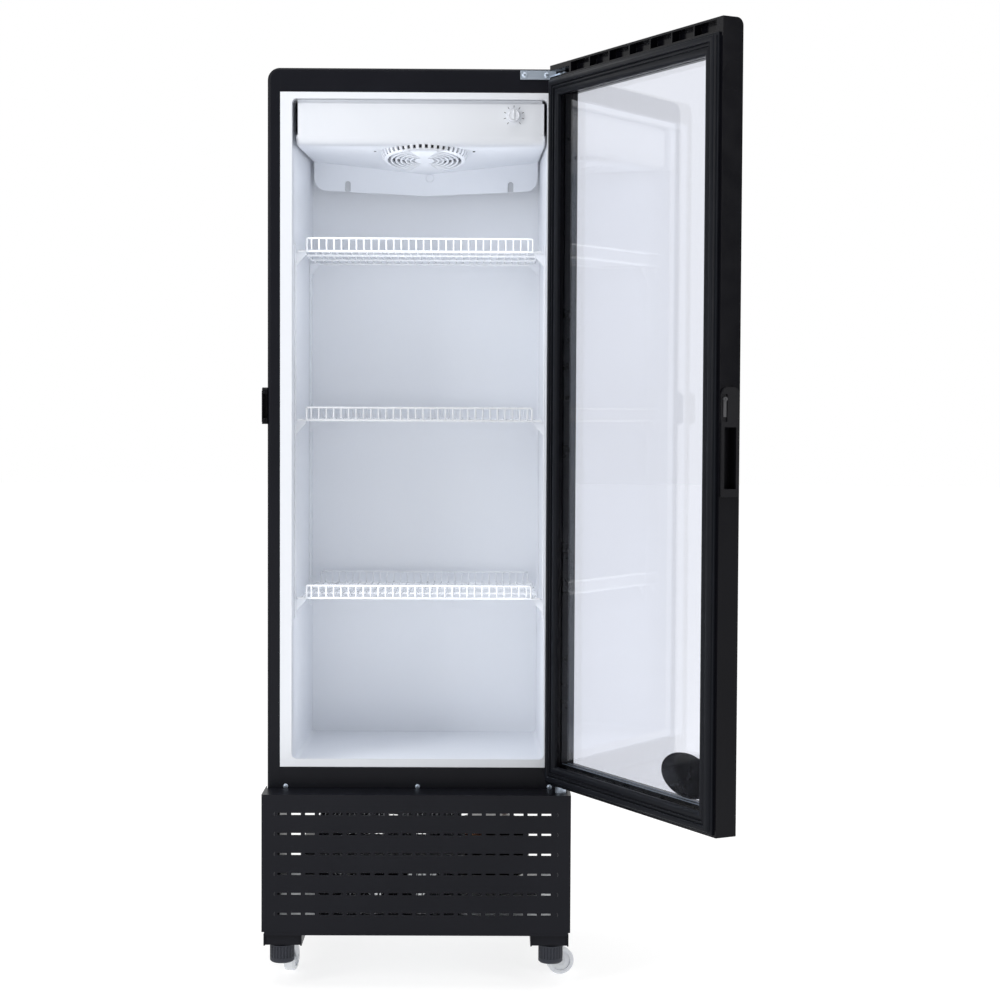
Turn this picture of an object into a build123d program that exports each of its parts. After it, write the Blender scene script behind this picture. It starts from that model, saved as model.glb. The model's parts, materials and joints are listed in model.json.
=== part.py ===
"""Single-door upright glass door merchandiser, modelled as an assembly of separate pieces.

Millimetres, +Z up. X = 0 is the middle of the cabinet, Y = 0 is the cabinet's front plane with
+Y towards the back, and Z = 0 is the floor. The door is drawn closed and then swung open about
its hinge pin, so the stored rest pose has the door standing open.
"""
from build123d import *
import os

os.makedirs("parts", exist_ok=True)

# ---------------------------------------------------------------- cabinet
WIDTH = 620.0
HEIGHT = 1873.0
DEPTH = 520.0
SKIN_BOTTOM = 112.0          # lower edge of the side sheets
SHEET = 1.2                  # painted steel sheet
TOP_CORNER_R = 25.0          # rounded upper corners, seen from the front
FRONT_EDGE_R = 7.0           # rolled front edge of the wrapped sheet
BAND_HALF = 284.0            # half width of the front top band and of the white flange
BAND_BOTTOM = 1824.0
RAIL_TOP = 442.0             # top of the black rail under the cavity
RAIL_BOTTOM = 378.0
BOX_BOTTOM = 400.0           # underside of the insulated box
GAP = 0.3                    # gap kept where foam meets sheet

# ---------------------------------------------------------------- white liner
LINER_T = 2.0
MOUTH_HALF = 260.0           # half width of the cavity at the front
BACK_HALF = 254.0            # half width of the cavity at the back
CAVITY_DEPTH = 450.0
CAVITY_FLOOR = 446.6
CAVITY_TOP = 1811.0
LIP_TOP = 458.7              # top of the white sill in front of the floor
LINER_R = 10.0

# ---------------------------------------------------------------- door, drawn closed
PIN_X = 294.0
PIN_Y = -39.0
DOOR_OPEN = 117.7            # degrees from closed to the stored pose
DOOR_HALF = 309.5
DOOR_BOTTOM = 416.0
DOOR_TOP = 1873.0
DOOR_FRONT = -56.0
DOOR_BACK = -13.0
BEZEL_BACK = -44.0           # rear face of the front bezel, which the glass rests on
BEZEL_HALF = 263.0           # bezel opening
BEZEL_LOW = 462.5
BEZEL_HIGH = 1814.0
REBATE_HALF = 275.0          # pocket that holds the glazing unit
REBATE_LOW = 450.0
REBATE_HIGH = 1826.0
TOP_FRONT_R = 14.0
PANE_T = 4.0
SPACER_T = 14.0
GASKET_BACK = -0.5           # sealing face, just clear of the cabinet when closed
RIB_PITCH = 74.0             # ribs between the pockets in the back of the top rail
POCKET_LOW = 1850.0
POCKET_HIGH = 1869.0
BADGE_X = -173.0
BADGE_Z = 505.5
BADGE_HALF_W = 87.0
BADGE_HALF_H = 41.7

# ---------------------------------------------------------------- handle and lock
HANDLE_LOW = 1026.0
HANDLE_HIGH = 1221.0
GRIP_LOW = 1040.0
GRIP_HIGH = 1150.0
HANDLE_PROUD = 4.5           # how far the handle plate stands out of the door edge
HANDLE_FRONT = -51.0
HANDLE_BACK = -15.5
GRIP_DEPTH = 24.0
LOCK_R = 4.0
LOCK_Y = -22.0
LOCK_Z = 1200.0
LOCK_LEDGE = -310.8          # lowered strip that the lock tongue turns on
TONGUE = 32.0                # reach of the lock tongue from its axis
KEEPER_LOW = 1148.0
KEEPER_HIGH = 1223.0
KEEPER_OUT = 11.0            # how far the keeper stands out of the cabinet's side

# ---------------------------------------------------------------- hinges
PIN_R = 4.0
BUSH_R = 7.0
COLLAR_R = 11.0              # collar that the door rests on
COLLAR_TOP = 410.0
ARM_LOW = 1854.0             # arm of the top hinge
ARM_HIGH = 1858.0
HINGE_LEFT = 204.5
HINGE_RIGHT = 277.0
HINGE_SCREW_Z = 1859.5
BRACKET_LOW = 388.0          # arm of the bottom hinge
BRACKET_HIGH = 392.0
RAIL_SCREW_X = 272.0
RAIL_SCREW_Z = 401.5

# ---------------------------------------------------------------- base and undercarriage
PANEL_HALF = 314.0
PANEL_FRONT = -78.6
PANEL_TOP = 398.0
PANEL_BOTTOM = 117.0
PANEL_RETURN = 22.0          # how far back the panel's sides reach
PANEL_TOP_LIP = -4.0         # rear edge of the panel's top lip
PANEL_BOTTOM_LIP = -58.0     # rear edge of its bottom lip
PANEL_SCREW_Y = -20.0
PANEL_SCREW_Z = (169.0, 289.0)
SLOT_ROWS = 6
SLOT_COLUMNS = 20
SLOT_ROW_PITCH = 40.85
SLOT_PITCH = 28.2
SLOT_LENGTH = 19.3
SLOT_HEIGHT = 4.0
SLOT_TOP_Z = 359.0
SLOT_FIRST_X = -281.5
CHANNEL_TOP = 110.0
CHANNEL_BOTTOM = 86.0
CHANNEL_OUTER = 311.0
CHANNEL_INNER = 233.0
CHANNEL_FRONT = -66.0
CHANNEL_REAR = 505.0
CHANNEL_T = 3.0
TRAY_TOP = 112.0
FOOT_X = 275.0
FOOT_Y = -41.0
FOOT_R = 25.0
FOOT_BOTTOM = 49.0
FOOT_TOP = 85.0
STEM_R = 6.0
CASTER_X = 271.0
CASTER_FRONT_Y = 45.0
CASTER_REAR_Y = 440.0
CASTER_HEADINGS = (80.0, 12.0, 70.0, 120.0)   # front left, front right, rear left, rear right
WHEEL_R = 28.5
WHEEL_WIDTH = 22.0
AXLE_R = 4.0
KINGPIN_R = 5.0
TRAIL = 27.0                 # wheel axle behind the swivel axis
RUN = 0.05                   # radial clearance of a running fit

# ---------------------------------------------------------------- shelves
SHELF_DECKS = {"top": 1508.0, "middle": 1159.5, "lower": 790.4}
SHELF_HALF = 246.0
SHELF_FRONT = 40.0
SHELF_REAR = 428.0
FENCE = 25.0
WIRE_R = 1.6
FRAME_WIRE_R = 2.5
WIRE_PITCH = 15.4
STANDARD_LOW = 745.0
STANDARD_HIGH = 1520.0
STANDARD_Y = (60.0, 372.0)
STANDARD_W = 16.0
STANDARD_T = 3.0

# ---------------------------------------------------------------- evaporator housing
COVER_HALF = 250.0
COVER_FRONT = 8.0
COVER_REAR = 388.0
COVER_TOP = 1803.0
COVER_LOW_FRONT = 1719.0
COVER_LOW_REAR = 1712.0
COVER_T = 3.0
APRON_HALF = 247.0
APRON_SIDE_Z = 1672.0
APRON_MID_Z = 1653.0
FAN_X = 7.0
FAN_Y = 100.0
FAN_Z = 1713.0
FAN_TILT = 9.5               # the grille faces down and slightly forward
GRILLE_R = 93.0
BLADE_R = 74.0
KNOB_X = 192.0
KNOB_Z = 1778.5
KNOB_R = 13.0
SPINDLE_R = 3.0
KEYHOLES = (-171.5, 190.0)   # slots in the apron's lower edge
CAP_X = 10.3
CAP_Z = 1693.0
COIL_BOX = (-215.0, 215.0, 226.0, 352.0, 1728.0, 1792.0)

# ---------------------------------------------------------------- machine compartment
COMPRESSOR_X = 150.0
COMPRESSOR_Y = 360.0
COMPRESSOR_R = 88.0
CONDENSER_BOX = (-200.0, 90.0, -40.0, 20.0, 122.0, 345.0)
CONDENSER_BLADE_R = 94.0
COMPARTMENT_TOP = 392.0      # lower edge of the rear sheet, above the open machine compartment

MIRROR = (-1, 1)


# ================================================================ helpers
def block(x0, x1, y0, y1, z0, z1):
    """Rectangular block between two corners."""
    return Pos((x0 + x1) / 2, (y0 + y1) / 2, (z0 + z1) / 2) * Box(abs(x1 - x0), abs(y1 - y0), abs(z1 - z0))


def front_plane(y):
    """Plane facing the front: local x is +X, local y is +Z, and the normal is -Y."""
    return Plane((0, y, 0), x_dir=(1, 0, 0), z_dir=(0, -1, 0))


def plate(sketch, y0, y1):
    """Sketch drawn in X and Z, thickened from y0 back to y1."""
    return extrude(front_plane(y1) * sketch, y1 - y0, dir=(0, -1, 0))


def window(half, low, high, radius=0.0):
    """Rectangle centred on X = 0 from low to high, for plate()."""
    shape = Rectangle(2 * half, high - low)
    if radius:
        shape = RectangleRounded(2 * half, high - low, radius)
    return Pos(0, (low + high) / 2) * shape


def upright(radius, height, x, y, z):
    """Vertical cylinder standing on z."""
    return Pos(x, y, z + height / 2) * Cylinder(radius, height)


def crosswise(radius, length, x, y, z):
    """Cylinder along X, centred on the point."""
    return Pos(x, y, z) * Rot(0, 90, 0) * Cylinder(radius, length)


def lengthwise(radius, y0, y1, x, z):
    """Cylinder along Y from y0 to y1."""
    return Pos(x, (y0 + y1) / 2, z) * Rot(90, 0, 0) * Cylinder(radius, y1 - y0)


def ring(radius, bore, height, x, y, z):
    """Vertical tube standing on z."""
    return upright(radius, height, x, y, z) - upright(bore, height + 2, x, y, z - 1)


def prism(points, x0, x1):
    """Outline drawn in Y and Z, thickened from x0 to x1."""
    side_plane = Plane((x0, 0, 0), x_dir=(0, 1, 0), z_dir=(1, 0, 0))
    return extrude(side_plane * Polygon(*points, align=None), x1 - x0, dir=(1, 0, 0))


def flat(points, z0, z1):
    """Outline drawn in X and Y, thickened from z0 to z1."""
    return extrude(Plane((0, 0, z0)) * Polygon(*points, align=None), z1 - z0, dir=(0, 0, 1))


def tube(points, radius, bend):
    """Round tube along straight runs joined by bends."""
    path = FilletPolyline(*points, radius=bend)
    section = Plane(path @ 0, z_dir=path % 0) * Circle(radius)
    return sweep(section, path=path)


def group(shapes):
    """Several separate solids kept together in one node."""
    solids = [solid for shape in shapes for solid in shape.solids()]
    return solids[0] if len(solids) == 1 else Compound(children=solids)


def rot_pin(shape):
    """Swing a piece of the closed door about the hinge pin to the stored open pose."""
    return Pos(PIN_X, PIN_Y, 0) * Rot(0, 0, DOOR_OPEN) * Pos(-PIN_X, -PIN_Y, 0) * shape


def wall_x(y):
    """Half width of the tapered cavity at a depth."""
    return MOUTH_HALF + (BACK_HALF - MOUTH_HALF) * y / CAVITY_DEPTH


nodes = {}


# ================================================================ cabinet shell
def skin_outline(inset):
    """Front outline of the wrapped sheet: straight sides and rounded upper corners."""
    half = WIDTH / 2 - inset
    top = HEIGHT - inset
    bottom = SKIN_BOTTOM - inset
    outline = Pos(0, (bottom + top) / 2) * Rectangle(2 * half, top - bottom)
    return fillet(outline.vertices().group_by(Axis.Y)[-1], TOP_CORNER_R - inset)


def rolled_block(inset, back):
    """Solid inside the skin, with its front edges rolled over except along the floor."""
    solid = plate(skin_outline(inset), inset, back)
    front_edges = solid.faces().sort_by(Axis.Y)[0].edges().sort_by(Axis.Z)[1:]
    return fillet(front_edges, FRONT_EDGE_R - inset)


def make_skin():
    """Wrapped side and top sheet, and the band that closes the front above the cavity."""
    shell = rolled_block(0, DEPTH) - rolled_block(SHEET, DEPTH + 1)
    shell -= block(-BAND_HALF, BAND_HALF, -1, SHEET + 1, SKIN_BOTTOM - 1, BAND_BOTTOM)
    band_space = block(-BAND_HALF, BAND_HALF, -1, SHEET + 1, BAND_BOTTOM, HEIGHT - FRONT_EDGE_R)
    nodes["outer_wrap"] = shell - band_space
    nodes["front_top_band"] = shell & band_space


def make_back_panel():
    """Rear sheet, which ends above the open machine compartment."""
    panel = plate(skin_outline(SHEET + GAP), DEPTH - SHEET, DEPTH)
    nodes["back_panel"] = panel & block(-WIDTH, WIDTH, 0, DEPTH + 1, COMPARTMENT_TOP, HEIGHT)


def make_rail():
    """Black rail across the front under the white flange."""
    face = block(-BAND_HALF, BAND_HALF, 0, SHEET, RAIL_BOTTOM, RAIL_TOP)
    turned_edge = block(-BAND_HALF, BAND_HALF, SHEET, 26, RAIL_BOTTOM, RAIL_BOTTOM + SHEET)
    nodes["lower_front_rail"] = face + turned_edge


def cavity(extra, front_y, depth):
    """Tapered cavity of the liner, grown by extra on every side."""
    height = CAVITY_TOP - CAVITY_FLOOR + 2 * extra
    middle = (CAVITY_TOP + CAVITY_FLOOR) / 2
    half_front = wall_x(front_y) + extra
    half_back = wall_x(depth) + extra
    sections = [
        front_plane(front_y) * Pos(0, middle) * RectangleRounded(2 * half_front, height, LINER_R + extra),
        front_plane(depth) * Pos(0, middle) * RectangleRounded(2 * half_back, height, LINER_R + extra),
    ]
    return loft(sections)


def make_liner_and_foam():
    """White moulded liner with its front flange, and the foam around it."""
    outer = cavity(LINER_T, 0, CAVITY_DEPTH + LINER_T)
    flange = plate(window(BAND_HALF, RAIL_TOP, BAND_BOTTOM), 0, LINER_T)
    mouth = plate(window(MOUTH_HALF, LIP_TOP, CAVITY_TOP, LINER_R), -1, LINER_T + 1)
    hollow = cavity(0, LINER_T, CAVITY_DEPTH)
    nodes["inner_liner"] = (outer + flange) - hollow - mouth
    half = WIDTH / 2 - SHEET - GAP
    foam = plate(skin_outline(SHEET + GAP), LINER_T + GAP, DEPTH - SHEET - GAP)
    foam &= block(-WIDTH, WIDTH, 0, DEPTH, BOX_BOTTOM, HEIGHT)
    foam = chamfer(foam.faces().sort_by(Axis.Y)[0].edges().sort_by(Axis.Z)[1:], FRONT_EDGE_R)
    nodes["insulation_foam"] = foam - cavity(LINER_T + GAP, 0, CAVITY_DEPTH + LINER_T + GAP)
    sheet_half = half - GAP
    pan = block(-sheet_half, sheet_half, 30, DEPTH - SHEET - GAP, BOX_BOTTOM - SHEET - GAP, BOX_BOTTOM - GAP)
    nodes["box_bottom_sheet"] = pan


# ================================================================ evaporator section
def cover_profile(inset):
    """Side outline of the evaporator housing, as points in Y and Z."""
    front = COVER_FRONT + inset
    rear = COVER_REAR - inset
    return [
        (front, COVER_TOP + inset),
        (front, COVER_LOW_FRONT + 16),
        (front + 5, COVER_LOW_FRONT + 5 + inset),
        (front + 16, COVER_LOW_FRONT + inset),
        (rear, COVER_LOW_REAR + inset),
        (rear, COVER_TOP + inset),
    ]


def fan_frame(shape):
    """Place a piece drawn about the fan's axis (local +Z up) on the tilted axis."""
    return Pos(FAN_X, FAN_Y, FAN_Z) * Rot(-FAN_TILT, 0, 0) * shape


def make_cover():
    """White housing over the evaporator, with a rear apron that ends in a shallow V."""
    body = prism(cover_profile(0), -COVER_HALF, COVER_HALF)
    hollow = prism(cover_profile(COVER_T), -COVER_HALF + COVER_T, COVER_HALF - COVER_T)
    body -= hollow
    body -= fan_frame(Cylinder(GRILLE_R + GAP, 90))
    corner = 30.0
    outline = Polygon(
        (-APRON_HALF, COVER_LOW_REAR + 4),
        (-APRON_HALF, APRON_SIDE_Z + corner),
        (-APRON_HALF + 9, APRON_SIDE_Z + 9),
        (-APRON_HALF + corner, APRON_SIDE_Z),
        (0, APRON_MID_Z),
        (APRON_HALF - corner, APRON_SIDE_Z),
        (APRON_HALF - 9, APRON_SIDE_Z + 9),
        (APRON_HALF, APRON_SIDE_Z + corner),
        (APRON_HALF, COVER_LOW_REAR + 4),
        align=None,
    )
    apron = plate(outline, COVER_REAR - COVER_T, COVER_REAR)
    for x in KEYHOLES:
        apron -= block(x - 6, x + 6, COVER_REAR - 9, COVER_REAR + 9, 1640, 1680)
        apron -= lengthwise(6, COVER_REAR - 9, COVER_REAR + 9, x, 1680)
    body += apron
    nodes["evaporator_cover"] = body - lengthwise(4.5, 0, 20, KNOB_X, KNOB_Z)


def make_fan_grille():
    """Round domed grille: a slotted skirt round a disc with curved slots."""
    profile = Polygon((GRILLE_R - 14, -16), (GRILLE_R - 6, -14), (GRILLE_R, 0), (GRILLE_R, 8),
                      (GRILLE_R - 4, 8), (GRILLE_R - 4, 1), (GRILLE_R - 9, -11), (0, -13), (0, -16), align=None)
    dome = revolve(Plane.XZ * profile, Axis.Z)
    count = 40
    slots = [Rot(0, 0, 360 * k / count) * block(GRILLE_R - 13, GRILLE_R + 3, -2.6, 2.6, -11, 1)
             for k in range(count)]
    dome -= slots
    arcs = []
    for radius in (26, 36, 46, 56, 66):
        band = Cylinder(radius + 2.6, 12) - Cylinder(radius - 2.6, 14)
        for side in MIRROR:
            arcs.append(Pos(0, 0, -15) * band & Rot(0, 0, 90 - 90 * side) * flat(
                [(4, -2.5), (80, -46), (80, 46), (4, 2.5)], -22, -8))
    dome -= arcs
    nodes["evaporator_fan_grille"] = fan_frame(dome)


def make_fan(hub_r, tip_r, blades, pitch, height):
    """Axial fan rotor about local Z: a hub with pitched blades."""
    rotor = Cylinder(hub_r, height)
    span = tip_r - hub_r + 3
    for k in range(blades):
        blade = Pos(hub_r - 3 + span / 2, 0, 0) * Rot(pitch, 0, 0) * Box(span, tip_r * 0.62, 1.8)
        rotor += Rot(0, 0, 360 * k / blades) * blade
    return rotor & Cylinder(tip_r, 60)


def make_evaporator():
    """Fan rotor and motor over the grille, and the finned coil behind them."""
    nodes["evaporator_fan_blade"] = fan_frame(
        Pos(0, 0, 18) * (make_fan(20, BLADE_R, 5, 28, 14) - Pos(0, 0, 3) * Cylinder(SPINDLE_R + RUN, 12)))
    shaft = Pos(0, 0, 22) * Cylinder(SPINDLE_R, 10)
    motor = Pos(0, 0, 41) * Cylinder(24, 24) + Pos(0, 0, 27.5) * Cylinder(SPINDLE_R, 4) + shaft
    arm = Pos(0, 0, 50) * Box(176, 16, 3)
    legs = [Pos(side * 86, 0, 30) * Box(4, 16, 42) for side in MIRROR]
    nodes["evaporator_fan_motor"] = fan_frame(motor + arm + legs[0] + legs[1])
    x0, x1, y0, y1, z0, z1 = COIL_BOX
    fins = [block(x0 + 12 * k, x0 + 12 * k + 1, y0, y1, z0, z1) for k in range(36)]
    pipes = [crosswise(4.5, x1 - x0 + 16, (x0 + x1) / 2, y0 + 22 + 41 * row, z0 + 17 + 30 * level)
             for row in range(3) for level in range(2)]
    nodes["evaporator_coil"] = fins[0] + (fins[1:] + pipes)


def make_thermostat():
    """Thermostat body behind the cover's front, and its knob in front."""
    front = COVER_FRONT + COVER_T + 0.2
    body = block(KNOB_X - 22, KNOB_X + 22, front, COVER_FRONT + 36, KNOB_Z - 18, KNOB_Z + 18)
    spindle = lengthwise(SPINDLE_R, -2, COVER_FRONT + COVER_T + 1, KNOB_X, KNOB_Z)
    nodes["thermostat_body"] = body + spindle
    knob = lengthwise(KNOB_R, -6, COVER_FRONT - 0.6, KNOB_X, KNOB_Z)
    knob = fillet(knob.edges().sort_by(Axis.Y)[0], 1.5)
    knob += block(KNOB_X - 1.5, KNOB_X + 1.5, -7.5, 0, KNOB_Z - 1, KNOB_Z + 11.5)
    nodes["thermostat_knob"] = knob - lengthwise(SPINDLE_R + RUN, -3, COVER_FRONT, KNOB_X, KNOB_Z)


# ================================================================ shelves
def make_shelf_shape():
    """Wire shelf with its deck at Z = 0: bent deck wires welded to heavier cross wires."""
    count = int(2 * (SHELF_HALF - 12) / WIRE_PITCH)
    first = -WIRE_PITCH * (count - 1) / 2
    wires = []
    for k in range(count):
        x = first + WIRE_PITCH * k
        wires.append(lengthwise(WIRE_R, SHELF_FRONT, SHELF_REAR, x, 0))
        wires.append(upright(WIRE_R, FENCE, x, SHELF_FRONT, -1))
        wires.append(upright(WIRE_R, FENCE, x, SHELF_REAR, -1))
    frame = []
    for side in MIRROR:
        frame.append(lengthwise(FRAME_WIRE_R, SHELF_FRONT, SHELF_REAR, side * (SHELF_HALF - FRAME_WIRE_R), -3))
    for y in (SHELF_FRONT + 3, 170.0, 300.0, SHELF_REAR - 3):
        frame.append(crosswise(FRAME_WIRE_R, 2 * SHELF_HALF - 5, 0, y, -3))
    for y in (SHELF_FRONT, SHELF_REAR):
        frame.append(crosswise(2.0, 2 * SHELF_HALF - 26, 0, y, FENCE - 1))
    return frame[0] + (frame[1:] + wires)


def make_shelves():
    """Three identical shelves, four slotted standards and twelve clips."""
    shelf = make_shelf_shape()
    for name, deck in SHELF_DECKS.items():
        nodes["shelf_" + name] = Pos(0, 0, deck) * shelf
    strips, clips = [], []
    for side in MIRROR:
        for y in STANDARD_Y:
            outer = wall_x(y + STANDARD_W / 2) - 0.1
            inner = outer - STANDARD_T
            strip = block(side * inner, side * outer, y - STANDARD_W / 2, y + STANDARD_W / 2,
                          STANDARD_LOW, STANDARD_HIGH)
            slots = [block(side * (inner - 1), side * (outer + 1), y - 2, y + 2, z, z + 9)
                     for z in range(int(STANDARD_LOW) + 12, int(STANDARD_HIGH) - 14, 24)]
            strips.append(strip - slots)
            for deck in SHELF_DECKS.values():
                top = deck - 3 - FRAME_WIRE_R
                gusset = plate(Polygon((side * inner, top), (side * (inner - 20), top),
                                       (side * (inner - 20), top - 4), (side * inner, top - 26), align=None),
                               y - 1.5, y + 1.5)
                seat = block(side * inner, side * (inner - 20), y - 6, y + 6, top - 2, top)
                clips.append(gusset + seat)
    nodes["shelf_standards"] = group(strips)
    nodes["shelf_clips"] = group(clips)


# ================================================================ door
def door_ring():
    """Whole door frame before it is mitred into four rails."""
    body = plate(window(DOOR_HALF, DOOR_BOTTOM, DOOR_TOP), DOOR_FRONT, DOOR_BACK)
    top_front = body.faces().sort_by(Axis.Y)[0].edges().sort_by(Axis.Z)[-1]
    body = fillet(top_front, TOP_FRONT_R)
    body -= plate(window(BEZEL_HALF, BEZEL_LOW, BEZEL_HIGH), DOOR_FRONT - 1, DOOR_BACK + 1)
    body -= plate(window(REBATE_HALF, REBATE_LOW, REBATE_HIGH), BEZEL_BACK, DOOR_BACK + 1)
    return body


def rail_wedges():
    """Mitre cutters for the top, bottom, hinge-side and handle-side rails."""
    out = DOOR_HALF + 10
    top, low = DOOR_TOP + 12, DOOR_BOTTOM - 10
    reach = BEZEL_HALF - 20
    high_in, low_in = BEZEL_HIGH - 24, BEZEL_LOW + 20
    corners = {
        "door_top_rail": [(-out, top), (out, top), (reach, high_in), (-reach, high_in)],
        "door_bottom_rail": [(-out, low), (out, low), (reach, low_in), (-reach, low_in)],
        "door_hinge_stile": [(out, top), (out, low), (reach, low_in), (reach, high_in)],
        "door_handle_stile": [(-out, top), (-out, low), (-reach, low_in), (-reach, high_in)],
    }
    return {name: plate(Polygon(*points, align=None), DOOR_FRONT - 5, DOOR_BACK + 5)
            for name, points in corners.items()}


def chambers():
    """Hollows inside the four rails."""
    wall = 3.0
    y0, y1 = BEZEL_BACK + wall, DOOR_BACK - wall
    inner, outer = REBATE_HALF + wall, DOOR_HALF - wall
    low, high = DOOR_BOTTOM + 60, DOOR_TOP - 80
    return {
        "door_top_rail": [block(-250, 215, y0 - 8, -31, REBATE_HIGH + wall, DOOR_TOP - 5)],
        "door_bottom_rail": [block(-255, 255, y0, y1, DOOR_BOTTOM + wall, REBATE_LOW - wall)],
        "door_hinge_stile": [block(inner, outer, y0, y1, low, high)],
        "door_handle_stile": [block(-outer, -inner, y0, y1, low, high)],
    }


def make_door_frame():
    """Four hollow mitred rails, with the hinge, handle and top pocket features cut in."""
    frame = door_ring()
    first, rib = -289, 3
    pockets = [block(first + RIB_PITCH * k, first + RIB_PITCH * (k + 1) - rib, -28, DOOR_BACK + 1,
                     POCKET_LOW, POCKET_HIGH) for k in range(7)]
    hinge_pocket = block(232, DOOR_HALF + 1, -52, DOOR_BACK + 1, POCKET_LOW, ARM_HIGH + 4.5)
    bush_holes = [upright(BUSH_R, 19, PIN_X, PIN_Y, POCKET_LOW - 18.5),
                  upright(BUSH_R, 24, PIN_X, PIN_Y, DOOR_BOTTOM - 1)]
    handle_hole = block(-DOOR_HALF - 1, -REBATE_HALF - 7.5, HANDLE_FRONT + 1.7, HANDLE_BACK - 1.2,
                        HANDLE_LOW + 2.7, HANDLE_HIGH - 2.7)
    cuts = pockets + [hinge_pocket, handle_hole] + bush_holes
    hollows = chambers()
    for name, wedge in rail_wedges().items():
        rail = frame & wedge
        nodes[name] = rot_pin(rail - hollows[name] - cuts)


def make_glazing():
    """Two panes, the spacer bars between them, the bead that holds them and the seal."""
    clear = 1.0
    half, low, high = REBATE_HALF - clear, REBATE_LOW + clear, REBATE_HIGH - clear
    outer_back = BEZEL_BACK + GAP + PANE_T
    spacer_back = outer_back + SPACER_T
    inner_back = spacer_back + PANE_T
    nodes["outer_glass"] = rot_pin(plate(window(half, low, high), outer_back - PANE_T, outer_back))
    nodes["inner_glass"] = rot_pin(plate(window(half, low, high), spacer_back, inner_back))
    spacer = plate(window(half - 2, low + 2, high - 2), outer_back, spacer_back)
    spacer -= plate(window(BEZEL_HALF + 0.5, BEZEL_LOW, BEZEL_HIGH + 0.5), outer_back - 1, spacer_back + 1)
    nodes["spacer_bars"] = rot_pin(spacer)
    bead = plate(window(half, low, high), inner_back + GAP, DOOR_BACK)
    nodes["glazing_bead"] = rot_pin(bead - plate(window(265, 456, 1812, 3), DOOR_FRONT, 0))
    seal = plate(window(301, 420, 1846, 4), DOOR_BACK, -5) + plate(window(296, 425, 1841, 6), -5, GASKET_BACK)
    seal -= plate(window(264, 457, 1810, 3), -20, 5)
    seal -= plate(window(291, 430, 1836, 4), -3.5, 5) - plate(window(288, 433, 1833, 4), -20, 5)
    seal -= plate(window(280, 441, 1825, 4), -3.5, 5) - plate(window(277, 444, 1822, 4), -20, 5)
    nodes["door_gasket"] = rot_pin(seal)
    badge = Pos(BADGE_X, BADGE_Z) * Ellipse(BADGE_HALF_W, BADGE_HALF_H)
    nodes["door_badge"] = rot_pin(plate(badge, BEZEL_BACK + GAP - 1.0, BEZEL_BACK + GAP))


def make_handle():
    """Handle moulding in the door's free edge, with a finger recess and a turning lock."""
    face = -DOOR_HALF - HANDLE_PROUD
    inner = -REBATE_HALF - 8.5
    flange = block(face, -DOOR_HALF - 0.1, HANDLE_FRONT - 1, HANDLE_BACK + 1, HANDLE_LOW, HANDLE_HIGH)
    top_edges = flange.edges().filter_by(Axis.X).group_by(Axis.Z)[-1]
    flange = fillet(top_edges, 12)
    tub = block(-DOOR_HALF - 0.1, inner, HANDLE_FRONT + 2.2, HANDLE_BACK - 1.7,
                HANDLE_LOW + 3.2, HANDLE_HIGH - 3.2)
    handle = flange + tub
    handle -= block(face - 1, face + GRIP_DEPTH, HANDLE_FRONT + 5, HANDLE_BACK - 5, GRIP_LOW, GRIP_HIGH)
    handle -= block(face - 1, LOCK_LEDGE, LOCK_Y - 4.5, HANDLE_BACK + 2, GRIP_HIGH + 10, LOCK_Z + 9)
    handle -= crosswise(LOCK_R + RUN, 80, inner - 5, LOCK_Y, LOCK_Z)
    handle -= block(inner - 12, inner + 1, LOCK_Y - 3.6, HANDLE_BACK, LOCK_Z - 9, LOCK_Z + 9)
    nodes["handle_housing"] = rot_pin(handle)
    barrel = crosswise(LOCK_R, 22, LOCK_LEDGE - 2.2 + 11, LOCK_Y, LOCK_Z)
    tongue = block(LOCK_LEDGE - 2.2, LOCK_LEDGE - GAP, LOCK_Y - 3, LOCK_Y + 3, LOCK_Z - TONGUE, LOCK_Z)
    head = crosswise(LOCK_R, 2.0, LOCK_LEDGE - 3.2, LOCK_Y, LOCK_Z)
    key_slot = block(LOCK_LEDGE - 6, LOCK_LEDGE - 3, LOCK_Y - 0.6, LOCK_Y + 0.6, LOCK_Z - 2.5, LOCK_Z + 2.5)
    nodes["lock_cylinder"] = rot_pin(barrel + tongue + head - key_slot)


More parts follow.
